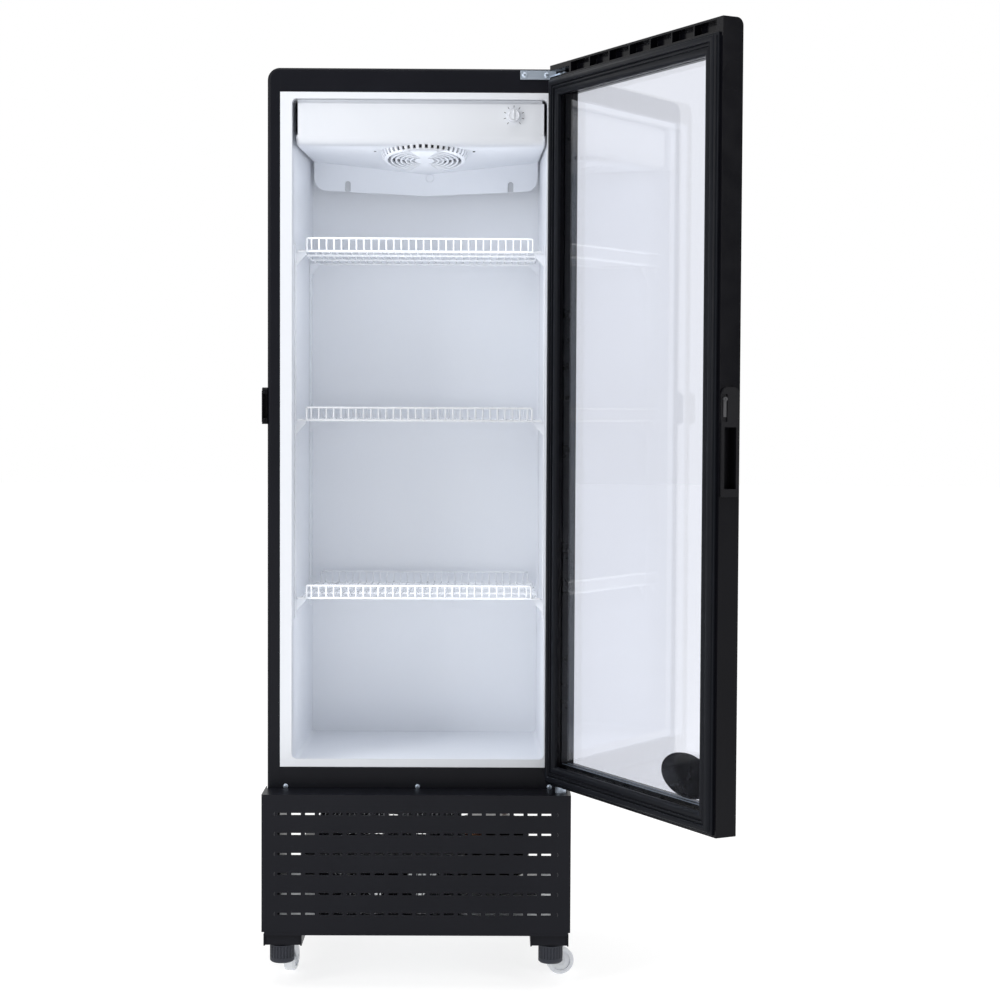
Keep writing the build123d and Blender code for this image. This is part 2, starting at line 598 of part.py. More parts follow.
def make_hinges():
    """Hinge plates, pins and the bushes that the pins turn in."""
    arm_front = PIN_Y - 2 * PIN_R
    backing = block(HINGE_LEFT, HINGE_RIGHT, -3, 0, ARM_LOW - 3, 1865)
    backing += block(HINGE_LEFT, HINGE_RIGHT, -3, -1, 1864, 1869)
    arm = flat([(HINGE_RIGHT - 11, -3), (HINGE_RIGHT, -3), (304, PIN_Y + PIN_R),
                (304, arm_front), (284, arm_front)], ARM_LOW, ARM_HIGH)
    nodes["top_hinge_plate"] = backing + arm - upright(PIN_R, 20, PIN_X, PIN_Y, ARM_LOW - 8)
    nodes["top_hinge_pin"] = (upright(PIN_R, 28, PIN_X, PIN_Y, ARM_LOW - 21)
                              + upright(6.5, 2, PIN_X, PIN_Y, ARM_HIGH))
    bracket = flat([(236, 0), (304, 0), (305, PIN_Y), (296, PIN_Y - 14), (278, arm_front)],
                   BRACKET_LOW, BRACKET_HIGH)
    bracket += block(236, 283, -3, 0, BRACKET_LOW - 8, BRACKET_HIGH)
    nodes["bottom_hinge_bracket"] = bracket - upright(PIN_R, 20, PIN_X, PIN_Y, BRACKET_LOW - 8)
    nodes["bottom_hinge_pin"] = (upright(COLLAR_R, COLLAR_TOP - BRACKET_HIGH, PIN_X, PIN_Y, BRACKET_HIGH)
                                 + upright(PIN_R, 52, PIN_X, PIN_Y, BRACKET_LOW - 4))
    bushes = [ring(BUSH_R, PIN_R + RUN, 17.6, PIN_X, PIN_Y, POCKET_LOW - 18.1),
              ring(BUSH_R, PIN_R + RUN, 22.6, PIN_X, PIN_Y, DOOR_BOTTOM)]
    nodes["hinge_bushes"] = group([rot_pin(bush) for bush in bushes])


def make_screws():
    """Screws of the top hinge, the front rail, the evaporator apron and the base panel."""
    hinge = [lengthwise(5.5, -5, -3, HINGE_LEFT + reach, HINGE_SCREW_Z) for reach in (9, 53.5)]
    rail = [lengthwise(7, -1.2, 0, x, RAIL_SCREW_Z) + lengthwise(4.5, -3.4, -1, x, RAIL_SCREW_Z)
            for x in (-RAIL_SCREW_X, 0, RAIL_SCREW_X)]
    cap = lengthwise(9, COVER_REAR - COVER_T - 3, COVER_REAR - COVER_T, CAP_X, CAP_Z)
    panel = [crosswise(4.5, 2, side * (PANEL_HALF + 1), PANEL_SCREW_Y, z)
             for side in MIRROR for z in PANEL_SCREW_Z]
    nodes["screws"] = group(hinge + rail + [cap] + panel)


def make_keeper():
    """Lock keeper on the side of the cabinet."""
    side = -WIDTH / 2
    outer = side - KEEPER_OUT
    body = block(outer, side, 0, 26, KEEPER_LOW, KEEPER_HIGH)
    body = fillet(body.edges().filter_by(Axis.X).group_by(Axis.Z)[-1], 8)
    body += block(outer, side - 5, -6, 1, KEEPER_LOW + 4, KEEPER_HIGH - 7)
    nodes["lock_keeper"] = body - block(outer + 2.5, side - 0.4, -7, 18, KEEPER_LOW + 12, KEEPER_HIGH - 13)


# ================================================================ base
def make_grille_panel():
    """Slotted sheet-metal panel wrapped round the front of the machine compartment."""
    outer = block(-PANEL_HALF, PANEL_HALF, PANEL_FRONT, PANEL_RETURN, PANEL_BOTTOM, PANEL_TOP)
    outer = fillet(outer.edges().filter_by(Axis.Z).group_by(Axis.Y)[0], 3)
    inner = PANEL_HALF - SHEET
    rear = PANEL_RETURN + 1
    shell = outer - block(-inner, inner, PANEL_FRONT + SHEET, rear, PANEL_BOTTOM + SHEET, PANEL_TOP - SHEET)
    shell -= block(-inner, inner, PANEL_TOP_LIP, rear, PANEL_TOP - 2 * SHEET, PANEL_TOP + 1)
    shell -= block(-inner, inner, PANEL_BOTTOM_LIP, rear, PANEL_BOTTOM - 1, PANEL_BOTTOM + 2 * SHEET)
    shell -= upright(COLLAR_R + 1.5, 20, PIN_X, PIN_Y, PANEL_TOP - 10)
    slot = Pos(SLOT_FIRST_X + SLOT_LENGTH / 2, PANEL_FRONT + 1, SLOT_TOP_Z) * Box(SLOT_LENGTH, 4, SLOT_HEIGHT)
    slots = [Pos(SLOT_PITCH * column, 0, -SLOT_ROW_PITCH * row) * slot
             for column in range(SLOT_COLUMNS) for row in range(SLOT_ROWS)]
    nodes["base_grille_panel"] = shell - slots


def make_chassis():
    """Tray of the machine compartment on two longitudinal channels."""
    half = WIDTH / 2 - SHEET - GAP
    tray = block(-half, half, CHANNEL_FRONT, DEPTH - SHEET - GAP, CHANNEL_TOP, TRAY_TOP)
    lip = block(-half, half, DEPTH - 4 - SHEET, DEPTH - SHEET - GAP, TRAY_TOP, TRAY_TOP + 18)
    stem_holes = [upright(STEM_R + 0.4, 20, side * FOOT_X, FOOT_Y, TRAY_TOP - 10) for side in MIRROR]
    nodes["chassis_tray"] = tray + lip - stem_holes
    channels = []
    plates = []
    for side in MIRROR:
        outer, inner = side * CHANNEL_OUTER, side * CHANNEL_INNER
        shape = block(outer, inner, CHANNEL_FRONT, CHANNEL_REAR, CHANNEL_BOTTOM, CHANNEL_TOP)
        shape -= block(outer - side * CHANNEL_T, inner + side * CHANNEL_T, CHANNEL_FRONT - 1, CHANNEL_REAR + 1,
                       CHANNEL_BOTTOM - 1, CHANNEL_TOP - CHANNEL_T)
        channels.append(shape - upright(STEM_R + 0.4, 20, side * FOOT_X, FOOT_Y, 100))
        for y in (CASTER_FRONT_Y, CASTER_REAR_Y):
            top = CHANNEL_TOP - CHANNEL_T
            mount = Pos(side * CASTER_X, y, top - 1.5) * Box(58, 58, 3)
            plates.append(mount + upright(5, 15, side * CASTER_X, y, top - 18))
    nodes["undercarriage_channels"] = group(channels)
    nodes["caster_plates"] = group(plates)


def make_casters():
    """Four swivel casters: a forked housing on a kingpin, and a wheel on the fork's axle."""
    top = CHANNEL_TOP - CHANNEL_T - 3 - GAP
    leg = WHEEL_WIDTH / 2 + 1.0
    axle = lengthwise(AXLE_R, -leg - 4, leg + 4, TRAIL, WHEEL_R)
    fork = upright(19, top - 66, 0, 0, 66) - upright(KINGPIN_R + RUN, 30, 0, 0, top - 15)
    outline = Polygon((-17, 74), (-12, 88), (15, 88), (20, 70), (TRAIL + 9, WHEEL_R), (TRAIL + 4, WHEEL_R - 8),
                      (TRAIL - 4, WHEEL_R - 8), (TRAIL - 9, WHEEL_R), (0, 60), align=None)
    for side in MIRROR:
        fork += plate(outline, side * (leg + 1.5) - 1.5, side * (leg + 1.5) + 1.5)
    fork += block(-14, 17, -leg - 3, leg + 3, 78, 88) + axle
    fork -= lengthwise(WHEEL_R + 3, -leg, leg, TRAIL, WHEEL_R) - axle
    wheel = lengthwise(WHEEL_R, -WHEEL_WIDTH / 2, WHEEL_WIDTH / 2, TRAIL, WHEEL_R)
    wheel = fillet(wheel.edges().filter_by(GeomType.CIRCLE), 4)
    wheel -= lengthwise(AXLE_R + RUN, -20, 20, TRAIL, WHEEL_R)
    for side in MIRROR:
        face = side * WHEEL_WIDTH / 2
        recess = lengthwise(20, min(face, face - side * 3), max(face, face - side * 3), TRAIL, WHEEL_R)
        wheel -= recess - lengthwise(9, -20, 20, TRAIL, WHEEL_R)
    names = [f"{end}_{side}" for end in ("front", "rear") for side in ("left", "right")]
    spots = [(side * CASTER_X, y) for y in (CASTER_FRONT_Y, CASTER_REAR_Y) for side in MIRROR]
    for name, (x, y), heading in zip(names, spots, CASTER_HEADINGS):
        nodes["caster_fork_" + name] = Pos(x, y, 0) * Rot(0, 0, heading) * fork
        nodes["caster_wheel_" + name] = Pos(x, y, 0) * Rot(0, 0, heading) * wheel


def make_feet():
    """Knurled levelling feet on threaded stems behind the front corners."""
    for side, name in ((-1, "left"), (1, "right")):
        pad = Cylinder(FOOT_R, FOOT_TOP - FOOT_BOTTOM)
        pad = chamfer(pad.edges().group_by(Axis.Z)[0], 3)
        notch = [Rot(0, 0, 15 * k) * Pos(FOOT_R, 0, 4) * Cylinder(1.6, 24) for k in range(24)]
        pad = Pos(side * FOOT_X, FOOT_Y, (FOOT_TOP + FOOT_BOTTOM) / 2) * (pad - notch)
        nodes["levelling_foot_" + name] = pad + upright(STEM_R, 46, side * FOOT_X, FOOT_Y, FOOT_TOP - 1)


# ================================================================ machine compartment
def make_compressor():
    """Domed compressor on a base plate with four grommets."""
    cx, cy = COMPRESSOR_X, COMPRESSOR_Y
    shell = upright(COMPRESSOR_R, 130, cx, cy, 138)
    shell = fillet(shell.edges().group_by(Axis.Z)[-1] + shell.edges().group_by(Axis.Z)[0], 34)
    base = block(cx - 110, cx + 110, cy - 62, cy + 62, 126, 130) + upright(50, 14, cx, cy, 128)
    grommets = [ring(11, 5, 14, cx + a * 92, cy + b * 48, TRAY_TOP) for a in MIRROR for b in MIRROR]
    nodes["compressor"] = shell + base
    nodes["compressor_grommets"] = group(grommets)


def make_condenser():
    """Finned condenser at the front of the compartment, with its shroud, fan and motor."""
    x0, x1, y0, y1, z0, z1 = CONDENSER_BOX
    fins = [block(x0 + 10 * k, x0 + 10 * k + 1, y0, y1, z0, z1) for k in range(30)]
    pipes = [crosswise(4.5, x1 - x0 + 16, (x0 + x1) / 2, y0 + 18 + 24 * row, z0 + 16 + 32 * level)
             for row in range(2) for level in range(7)]
    nodes["condenser_coil"] = fins[0] + (fins[1:] + pipes)
    fx, fz = (x0 + x1) / 2, (z0 + z1) / 2
    shroud = block(x0, x1, y1 + 3, y1 + 46, z0, z1) - block(x0 + 2, x1 - 2, y1 + 2, y1 + 44, z0 + 2, z1 - 2)
    nodes["condenser_fan_shroud"] = shroud - lengthwise(CONDENSER_BLADE_R + 4, y1, y1 + 60, fx, fz)
    rotor = make_fan(26, CONDENSER_BLADE_R, 5, 26, 18) - Pos(0, 0, -6) * Cylinder(4 + RUN, 16)
    nodes["condenser_fan_blade"] = Pos(fx, y1 + 28, fz) * Rot(90, 0, 0) * rotor
    motor = lengthwise(36, y1 + 50, y1 + 110, fx, fz) + lengthwise(4, y1 + 30, y1 + 50, fx, fz)
    nodes["condenser_fan_motor"] = motor + block(fx - 24, fx + 24, y1 + 62, y1 + 98, TRAY_TOP, fz - 20)


def make_lines():
    """Refrigerant tubes from the compressor, and the electrical box on the tray."""
    cx, cy = COMPRESSOR_X, COMPRESSOR_Y
    discharge = tube([(cx - 34, cy - 87, 220), (cx - 34, 220, 220), (cx - 10, 150, 300), (130, 2, 300),
                      (99, 2, 300)], 4, 12)
    suction = tube([(cx + 34, cy + 87, 220), (cx + 34, cy + 120, 220), (cx + 34, cy + 120, 398)], 5, 14)
    nodes["refrigerant_lines"] = group([discharge, suction])
    box = block(-270, -150, 420, 505, TRAY_TOP, 210)
    nodes["electrical_box"] = fillet(box.edges().filter_by(Axis.Z), 4)


# ================================================================ build and write
make_skin()
make_back_panel()
make_rail()
make_liner_and_foam()
make_cover()
make_fan_grille()
make_evaporator()
make_thermostat()
make_shelves()
make_door_frame()
make_glazing()
make_handle()
make_hinges()
make_screws()
make_keeper()
make_grille_panel()
make_chassis()
make_casters()
make_feet()
make_compressor()
make_condenser()
make_lines()

for name, shape in nodes.items():
    export_step(shape, f"parts/{name}.step")
print(len(nodes), "nodes")
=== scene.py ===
"""Looks of the glass door merchandiser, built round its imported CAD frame. Metres, +Z up."""

import json
from math import cos, pi, radians, sin

import bmesh
import bpy
from mathutils import Matrix, Vector


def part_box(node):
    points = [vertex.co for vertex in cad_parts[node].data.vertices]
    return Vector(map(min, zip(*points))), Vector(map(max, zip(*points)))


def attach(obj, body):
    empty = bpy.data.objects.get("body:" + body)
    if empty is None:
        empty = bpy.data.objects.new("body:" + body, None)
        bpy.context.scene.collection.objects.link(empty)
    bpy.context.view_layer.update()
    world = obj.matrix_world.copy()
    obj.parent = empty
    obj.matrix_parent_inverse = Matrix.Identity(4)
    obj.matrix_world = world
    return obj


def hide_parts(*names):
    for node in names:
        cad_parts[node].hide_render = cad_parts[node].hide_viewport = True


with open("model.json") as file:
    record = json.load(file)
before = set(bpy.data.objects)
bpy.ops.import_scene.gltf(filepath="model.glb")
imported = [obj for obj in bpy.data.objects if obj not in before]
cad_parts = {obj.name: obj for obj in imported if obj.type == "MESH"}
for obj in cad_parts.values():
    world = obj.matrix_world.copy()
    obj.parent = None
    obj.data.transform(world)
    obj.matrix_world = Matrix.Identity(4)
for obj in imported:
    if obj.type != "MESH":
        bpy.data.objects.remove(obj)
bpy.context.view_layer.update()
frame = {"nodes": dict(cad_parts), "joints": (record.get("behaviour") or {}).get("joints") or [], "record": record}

MM = 0.001
joints = {joint["name"]: joint for joint in frame["joints"]}
DOOR_PIN = Vector(joints["door_hinge"]["pos_m"])
DOOR_OPEN = -radians(joints["door_hinge"]["range_deg"][0])
OPEN_DOOR = Matrix.Translation(DOOR_PIN) @ Matrix.Rotation(DOOR_OPEN, 4, "Z") @ Matrix.Translation(-DOOR_PIN)


# ---------------------------------------------------------------- node helpers
class Shader:
    """A Principled material whose colour, roughness and bump come from procedural nodes."""

    def __init__(self, name, roughness=0.4, metallic=0.0, **sockets):
        self.material = bpy.data.materials.new(name)
        self.material.use_nodes = True
        self.nodes = self.material.node_tree.nodes
        self.links = self.material.node_tree.links
        self.shader = self.nodes["Principled BSDF"]
        self.shader.inputs["Roughness"].default_value = roughness
        self.shader.inputs["Metallic"].default_value = metallic
        for socket, value in sockets.items():
            self.shader.inputs[socket.replace("_", " ")].default_value = value
        self.coords = self.nodes.new("ShaderNodeTexCoord").outputs["Object"]
        self.normal = None

    def stretched(self, scale):
        """Object coordinates scaled differently along X, Y and Z."""
        mapping = self.nodes.new("ShaderNodeMapping")
        mapping.inputs["Scale"].default_value = scale
        self.links.new(self.coords, mapping.inputs["Vector"])
        return mapping.outputs["Vector"]

    def noise(self, scale, detail=3.0, stretch=None, distortion=0.0):
        """Noise value between 0 and 1 at a scale in cycles per metre."""
        node = self.nodes.new("ShaderNodeTexNoise")
        node.inputs["Scale"].default_value = scale
        node.inputs["Detail"].default_value = detail
        node.inputs["Distortion"].default_value = distortion
        self.links.new(self.stretched(stretch) if stretch else self.coords, node.inputs["Vector"])
        return node.outputs["Fac"]

    def cells(self, scale, feature="F1"):
        """Voronoi node at a scale in cells per metre."""
        node = self.nodes.new("ShaderNodeTexVoronoi")
        node.feature = feature
        node.inputs["Scale"].default_value = scale
        self.links.new(self.coords, node.inputs["Vector"])
        return node

    def ramp(self, value, low, high, start=0.3, end=0.7):
        """Value remapped from start..end to low..high."""
        node = self.nodes.new("ShaderNodeMapRange")
        node.inputs["From Min"].default_value = start
        node.inputs["From Max"].default_value = end
        node.inputs["To Min"].default_value = low
        node.inputs["To Max"].default_value = high
        self.links.new(value, node.inputs["Value"])
        return node.outputs["Result"]

    def mix(self, factor, first, second):
        """Colour mixed from first to second by a factor."""
        node = self.nodes.new("ShaderNodeMix")
        node.data_type = "RGBA"
        self.links.new(factor, node.inputs["Factor"])
        for socket, colour in (("A", first), ("B", second)):
            target = [item for item in node.inputs if item.name == socket and item.type == "RGBA"][0]
            if isinstance(colour, tuple):
                target.default_value = (*colour, 1.0)
            else:
                self.links.new(colour, target)
        return [item for item in node.outputs if item.type == "RGBA"][0]

    def colour(self, value):
        """Send a colour to the shader."""
        self.links.new(value, self.shader.inputs["Base Color"])
        return self

    def rough(self, value):
        """Send a roughness to the shader."""
        self.links.new(value, self.shader.inputs["Roughness"])
        return self

    def soften(self, radius):
        """Round every edge's shading by a small radius."""
        node = self.nodes.new("ShaderNodeBevel")
        node.samples = 4
        node.inputs["Radius"].default_value = radius
        self.normal = node.outputs["Normal"]
        self.links.new(self.normal, self.shader.inputs["Normal"])
        return self

    def bump(self, height, strength, distance):
        """Add a bump layer over the ones already there."""
        node = self.nodes.new("ShaderNodeBump")
        node.inputs["Strength"].default_value = strength
        node.inputs["Distance"].default_value = distance
        self.links.new(height, node.inputs["Height"])
        if self.normal:
            self.links.new(self.normal, node.inputs["Normal"])
        self.normal = node.outputs["Normal"]
        self.links.new(self.normal, self.shader.inputs["Normal"])
        return self

    def edge_wear(self, radius, amount):
        """Mask that rises to amount along sharp edges, broken up by noise."""
        rounded = self.nodes.new("ShaderNodeBevel")
        rounded.samples = 4
        rounded.inputs["Radius"].default_value = radius
        geometry = self.nodes.new("ShaderNodeNewGeometry")
        dot = self.nodes.new("ShaderNodeVectorMath")
        dot.operation = "DOT_PRODUCT"
        self.links.new(rounded.outputs["Normal"], dot.inputs[0])
        self.links.new(geometry.outputs["Normal"], dot.inputs[1])
        edge = self.ramp(dot.outputs["Value"], 1.0, 0.0, 0.90, 0.995)
        patchy = self.ramp(self.noise(160, 5), 0.0, amount, 0.45, 0.7)
        product = self.nodes.new("ShaderNodeMath")
        product.operation = "MULTIPLY"
        self.links.new(edge, product.inputs[0])
        self.links.new(patchy, product.inputs[1])
        return product.outputs["Value"]


def coated(name, base, shade, low, high, grain, depth, edge=0.0006, wear=None, **sockets):
    """Painted or moulded surface: cloudy colour, uneven gloss, a fine grain and softened edges."""
    made = Shader(name, **sockets)
    made.soften(edge)
    colour = made.mix(made.ramp(made.noise(7, 4), 0, 1), base, shade)
    if wear:
        colour = made.mix(made.edge_wear(0.0009, 0.55), colour, wear)
    made.colour(colour)
    made.rough(made.ramp(made.noise(26, 5), low, high))
    made.bump(made.noise(grain, 2), 0.35, depth)
    return made


def plated(name, base, shade, low, high, stretch, **sockets):
    """Bare or plated metal with drawn streaks and a soft mottle."""
    made = Shader(name, metallic=1.0, **sockets)
    made.soften(0.0004)
    spangle = made.cells(240).outputs["Color"]
    tone = made.mix(made.ramp(made.noise(60, 4), 0, 1), base, shade)
    made.colour(tone)
    made.rough(made.ramp(made.noise(90, 4, stretch), low, high))
    made.bump(made.noise(260, 3, stretch), 0.2, 0.00004)
    made.bump(spangle, 0.04, 0.00003)
    return made


# ---------------------------------------------------------------- materials, one per slot
def black_steel():
    """Satin black powder coat with a slight orange peel."""
    return coated("black_steel", (0.0085, 0.009, 0.0125), (0.0100, 0.0105, 0.0145), 0.33, 0.36, 1100, 0.00001,
                  wear=(0.03, 0.031, 0.036), Specular_IOR_Level=0.10)


def white_liner():
    """Vacuum-formed white liner, smooth with a slow ripple."""
    made = coated("white_liner", (0.825, 0.852, 0.904), (0.835, 0.860, 0.909), 0.30, 0.38, 400, 0.000001)
    return made.bump(made.noise(5, 1), 0.08, 0.0003)


def white_plastic():
    """Moulded white ABS with a fine matt texture."""
    return coated("white_plastic", (0.80, 0.828, 0.884), (0.815, 0.842, 0.895), 0.32, 0.42, 1400, 0.000003,
                  edge=0.0018)


def foam():
    """Rigid cream foam with visible cells."""
    made = coated("foam", (0.76, 0.68, 0.44), (0.84, 0.77, 0.53), 0.85, 0.95, 900, 0.0003)
    return made.bump(made.cells(420).outputs["Distance"], 0.5, 0.0006)


def galvanised():
    """Galvanised sheet with spangle."""
    made = plated("galvanised", (0.50, 0.52, 0.54), (0.62, 0.64, 0.66), 0.38, 0.55, (1, 1, 6))
    return made.bump(made.cells(90).outputs["Color"], 0.12, 0.0001)


def coil_aluminium():
    """Bright finned aluminium with faint dust."""
    return plated("coil_aluminium", (0.72, 0.73, 0.76), (0.60, 0.61, 0.63), 0.32, 0.5, (1, 8, 1))


def dark_plastic():
    """Plain dark moulding of motors and boxes."""
    return coated("dark_plastic", (0.035, 0.036, 0.040), (0.05, 0.05, 0.055), 0.45, 0.6, 1500, 0.00008)


def white_wire():
    """Thick white dip coating on wire, with small pools and pimples."""
    made = coated("white_wire", (0.83, 0.855, 0.90), (0.87, 0.885, 0.915), 0.22, 0.35, 400, 0.00002)
    return made.bump(made.noise(1800, 2), 0.2, 0.00001)


def white_metal():
    """White enamelled steel strip."""
    return coated("white_metal", (0.80, 0.828, 0.88), (0.82, 0.845, 0.893), 0.28, 0.4, 1000, 0.000008)


def zinc():
    """Bright blue-white zinc plate."""
    made = coated("zinc", (0.44, 0.52, 0.62), (0.56, 0.63, 0.73), 0.30, 0.42, 700, 0.000004, edge=0.0004)
    made.shader.inputs["Metallic"].default_value = 0.65
    return made


def black_plastic():
    """Black moulding with a fine spark-eroded texture."""
    return coated("black_plastic", (0.0045, 0.0045, 0.0060), (0.0065, 0.0065, 0.0085), 0.30, 0.40, 1800,
                  0.00002, wear=(0.03, 0.03, 0.034), Specular_IOR_Level=0.12)


def foot_plastic():
    """Dark grey-blue knurled feet, slightly dusty."""
    return coated("foot_plastic", (0.027, 0.030, 0.040), (0.034, 0.037, 0.048), 0.5, 0.65, 1500, 0.00003,
                  wear=(0.06, 0.06, 0.07), Specular_IOR_Level=0.25)


def compressor_black():
    """Thick glossy black enamel."""
    return coated("compressor_black", (0.012, 0.012, 0.014), (0.02, 0.02, 0.022), 0.25, 0.45, 300, 0.0002)


def rubber_black():
    """Moulded rubber."""
    return coated("rubber_black", (0.015, 0.015, 0.016), (0.028, 0.028, 0.03), 0.7, 0.85, 1600, 0.0001)


def copper():
    """Drawn copper tube with dull patches."""
    return plated("copper", (0.72, 0.33, 0.19), (0.52, 0.24, 0.14), 0.3, 0.5, (1, 1, 5))


def door_black():
    """Gloss-satin black extrusion with a slow ripple."""
    made = coated("door_black", (0.0030, 0.0030, 0.0045), (0.0040, 0.0040, 0.0058), 0.14, 0.20, 1200,
                  0.000004, edge=0.0009, wear=(0.02, 0.02, 0.024), Specular_IOR_Level=0.12)
    return made.bump(made.noise(25, 1), 0.05, 0.00002)


def glass():
    """Faintly blue toughened glass."""
    made = Shader("glass", roughness=0.0, Transmission_Weight=1.0, IOR=1.45)
    made.colour(made.mix(made.ramp(made.noise(3, 2), 0, 1), (0.885, 0.898, 0.940), (0.890, 0.903, 0.943)))
    made.bump(made.noise(2.2, 1), 0.05, 0.0001)
    return made


def spacer_aluminium():
    """Spacer bar coloured dark, with a satin gloss."""
    return coated("spacer_aluminium", (0.012, 0.013, 0.016), (0.018, 0.019, 0.023), 0.25, 0.35, 900, 0.000005,
                  Metallic=0.4)


def gasket_rubber():
    """Soft extruded seal with a silky blue-grey sheen."""
    made = coated("gasket_rubber", (0.007, 0.008, 0.0110), (0.010, 0.0112, 0.015), 0.32, 0.40, 1200, 0.00001,
                  edge=0.0005, Specular_IOR_Level=0.08)
    return made.bump(made.noise(30, 1), 0.05, 0.00002)


def badge_black():
    """Gloss black oval plate with a faint swirl."""
    made = coated("badge_black", (0.010, 0.010, 0.013), (0.022, 0.022, 0.027), 0.12, 0.3, 600, 0.00002)
    return made.bump(made.noise(14, 4, None, 2.0), 0.2, 0.0004)


def nylon():
    """Off-white nylon bush."""
    return coated("nylon", (0.70, 0.69, 0.64), (0.76, 0.75, 0.70), 0.4, 0.5, 1400, 0.00005)


def caster_grey():
    """Grey nylon caster housing."""
    return coated("caster_grey", (0.50, 0.52, 0.55), (0.60, 0.62, 0.65), 0.35, 0.5, 1400, 0.00006,
                  wear=(0.35, 0.35, 0.36))


def wheel_clear():
    """Cloudy translucent polyurethane wheel."""
    return coated("wheel_clear", (0.62, 0.64, 0.68), (0.74, 0.76, 0.79), 0.22, 0.4, 900, 0.00008,
                  Subsurface_Weight=0.35, Subsurface_Radius=(0.01, 0.01, 0.012))


SLOT_MATERIALS = {
    make.__name__: make().material
    for make in (black_steel, white_liner, white_plastic, foam, galvanised, coil_aluminium, dark_plastic,
                 white_wire, white_metal, zinc, black_plastic, foot_plastic, compressor_black, rubber_black,
                 copper, door_black, glass, spacer_aluminium, gasket_rubber, badge_black, nylon, caster_grey,
                 wheel_clear)
}


def dress_cad_nodes():
    """Give every CAD node the material of its slot."""
    for part in frame["record"]["subparts"]:
        node = frame["nodes"][part["node"]]
        node.data.materials.clear()
        node.data.materials.append(SLOT_MATERIALS[part["material_slot"]])


# ---------------------------------------------------------------- mesh helpers
def add_piece(name, verts, faces, slot, body, replaced=(), door=False, sharp=35.0):
    """Mesh object from vertices in millimetres, riding on a body."""
    mesh = bpy.data.meshes.new(name)
    mesh.from_pydata([Vector(v) * MM for v in verts], [], faces)
    mesh.validate()
    if door:
        mesh.transform(OPEN_DOOR)
    work = bmesh.new()
    work.from_mesh(mesh)
    bmesh.ops.remove_doubles(work, verts=work.verts, dist=1e-6)
    bmesh.ops.recalc_face_normals(work, faces=work.faces)
    work.to_mesh(mesh)
    work.free()
    mesh.polygons.foreach_set("use_smooth", [True] * len(mesh.polygons))
    mesh.set_sharp_from_angle(angle=radians(sharp))
    mesh.materials.append(SLOT_MATERIALS[slot])
    piece = bpy.data.objects.new(name, mesh)
    bpy.context.scene.collection.objects.link(piece)
    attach(piece, body)
    if replaced:
        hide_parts(*replaced)
    return piece


def round_corners(points, radius, steps=4):
    """Path with each inner corner turned into an arc."""
    path = [Vector(points[0])]
    for before, corner, after in zip(points, points[1:], points[2:]):
        corner = Vector(corner)
        towards = (Vector(before) - corner).normalized()
        onwards = (Vector(after) - corner).normalized()
        start, end = corner + towards * radius, corner + onwards * radius
        for k in range(steps + 1):
            t = k / steps
            path.append(start * (1 - t) ** 2 + corner * 2 * t * (1 - t) + end * t ** 2)
    path.append(Vector(points[-1]))
    return path


def tube(path, radius, sides=8):
    """Vertices and faces of a closed round wire along a path."""
    verts, faces = [], []
    reference = Vector((0, 0, 1))
    for k, point in enumerate(path):
        ahead = path[min(k + 1, len(path) - 1)] - path[max(k - 1, 0)]
        ahead.normalize()
        across = ahead.cross(reference)
        if across.length < 0.2:
            across = ahead.cross(Vector((1, 0, 0)))
        across.normalize()
        up = across.cross(ahead)
        reference = up
        for s in range(sides):
            angle = 2 * pi * s / sides
            verts.append(point + across * radius * cos(angle) + up * radius * sin(angle))
    for k in range(len(path) - 1):
        for s in range(sides):
            a, b = k * sides + s, k * sides + (s + 1) % sides
            faces.append((a, b, b + sides, a + sides))
    last = (len(path) - 1) * sides
    faces.append(tuple(reversed(range(sides))))
    faces.append(tuple(range(last, last + sides)))
    return verts, faces


def join(parts):
    """One vertex and face list from several."""
    verts, faces = [], []
    for part_verts, part_faces in parts:
        start = len(verts)
        verts += part_verts
        faces += [tuple(index + start for index in face) for face in part_faces]
    return verts, faces


def lathe(profile, centre, axis, sides=32, wobble=None):
    """Closed turned solid: profile is (radius, height) from one end of the axis to the other."""
    axis = Vector(axis).normalized()
    across = axis.orthogonal().normalized()
    up = axis.cross(across)
    verts, faces = [], []
    for radius, height in profile:
        for s in range(sides):
            angle = 2 * pi * s / sides
            reach = radius + (wobble(angle) if wobble and radius > 2 else 0)
            verts.append(Vector(centre) + axis * height + (across * cos(angle) + up * sin(angle)) * reach)
    for k in range(len(profile) - 1):
        for s in range(sides):
            a, b = k * sides + s, k * sides + (s + 1) % sides
            faces.append((a, b, b + sides, a + sides))
    last = (len(profile) - 1) * sides
    faces.append(tuple(reversed(range(sides))))
    faces.append(tuple(range(last, last + sides)))
    return verts, faces


BOX_FACES = [(0, 1, 3, 2), (4, 6, 7, 5), (0, 4, 5, 1), (2, 3, 7, 6), (0, 2, 6, 4), (1, 5, 7, 3)]


def slab(low, high):
    """Closed box between two corners."""
    (x0, y0, z0), (x1, y1, z1) = low, high
    verts = [Vector((x, y, z)) for x in (x0, x1) for y in (y0, y1) for z in (z0, z1)]
    return verts, BOX_FACES


def picture_frame(half, low, high, section):
    """Mitred ring in the door's plane; section lists (distance in from the outline, depth)."""
    verts, faces = [], []
    corners = ((-1, 0), (1, 0), (1, 1), (-1, 1))
    for side, top in corners:
        for inset, depth in section:
            z = high - inset if top else low + inset
            verts.append(Vector((side * (half - inset), depth, z)))
    count = len(section)
    for c in range(4):
        for s in range(count):
            a, b = c * count + s, c * count + (s + 1) % count
            following = ((c + 1) % 4) * count
            faces.append((a, b, following + (s + 1) % count, following + s))
    return verts, faces


